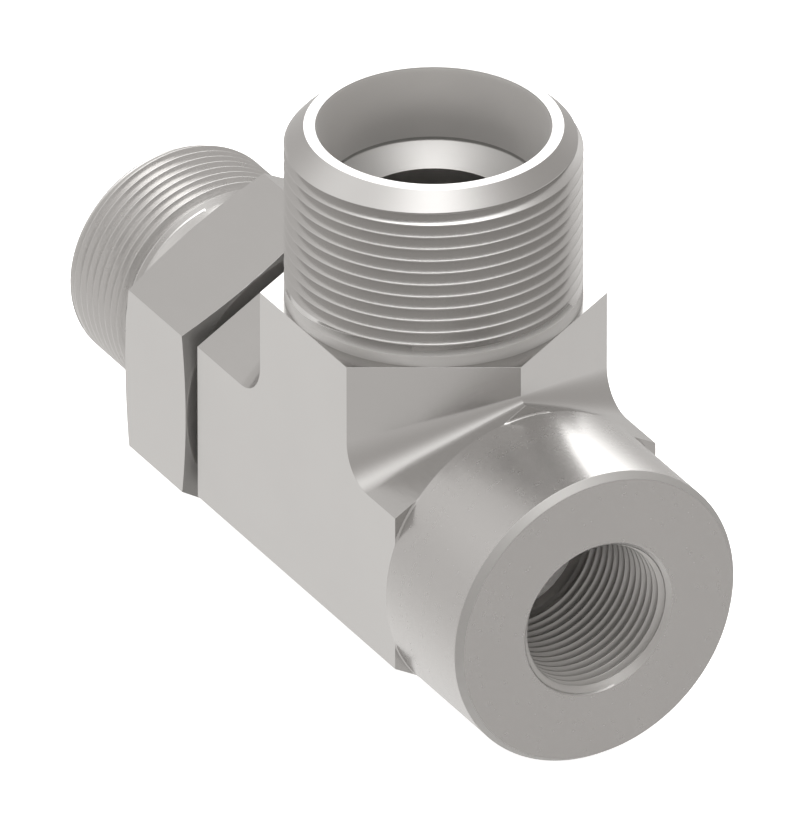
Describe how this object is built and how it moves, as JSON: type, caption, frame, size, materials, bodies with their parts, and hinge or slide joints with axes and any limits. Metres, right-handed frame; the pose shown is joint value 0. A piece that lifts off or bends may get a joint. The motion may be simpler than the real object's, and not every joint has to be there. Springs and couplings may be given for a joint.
{
  "type": "tee adapter",
  "caption": "Hydraulic tee adapter: threaded branch with tapered tube socket, tapped round run port, and an adjustable threaded stud with lock nut.",
  "frame": {"origin": "where the run axis and the branch axis cross, inside the body", "axes": "+X along the run towards the tapped port, +Z along the branch towards its rim, +Y across"},
  "size_m": [0.1496, 0.0556, 0.1012],
  "materials": {
    "steel_body": "satin, fine machined",
    "steel_nut": "satin, fine machined",
    "steel_washer": "satin",
    "seal_rubber": "matt black"
  },
  "bodies": {
    "tee_body": {"body": "steel_body"},
    "seal_pack": {"backup_washer": "steel_washer", "seal_ring": "seal_rubber"},
    "nut": {"lock_nut": "steel_nut"}
  },
  "joints": [
    {"name": "seal_travel", "type": "slide", "parent": "tee_body", "child": "seal_pack", "axis": [-1, 0, 0], "range_m": [-0.0018, 0.0055]},
    {"name": "nut_turn", "type": "hinge", "parent": "seal_pack", "child": "nut", "pos_m": [-0.05, 0, 0], "axis": [-1, 0, 0], "range_deg": [-300, 930]}
  ],
  "couplings": [
    {"joint": "seal_travel", "follows": "nut_turn", "m_per_rad": 0.00033582}
  ]
}
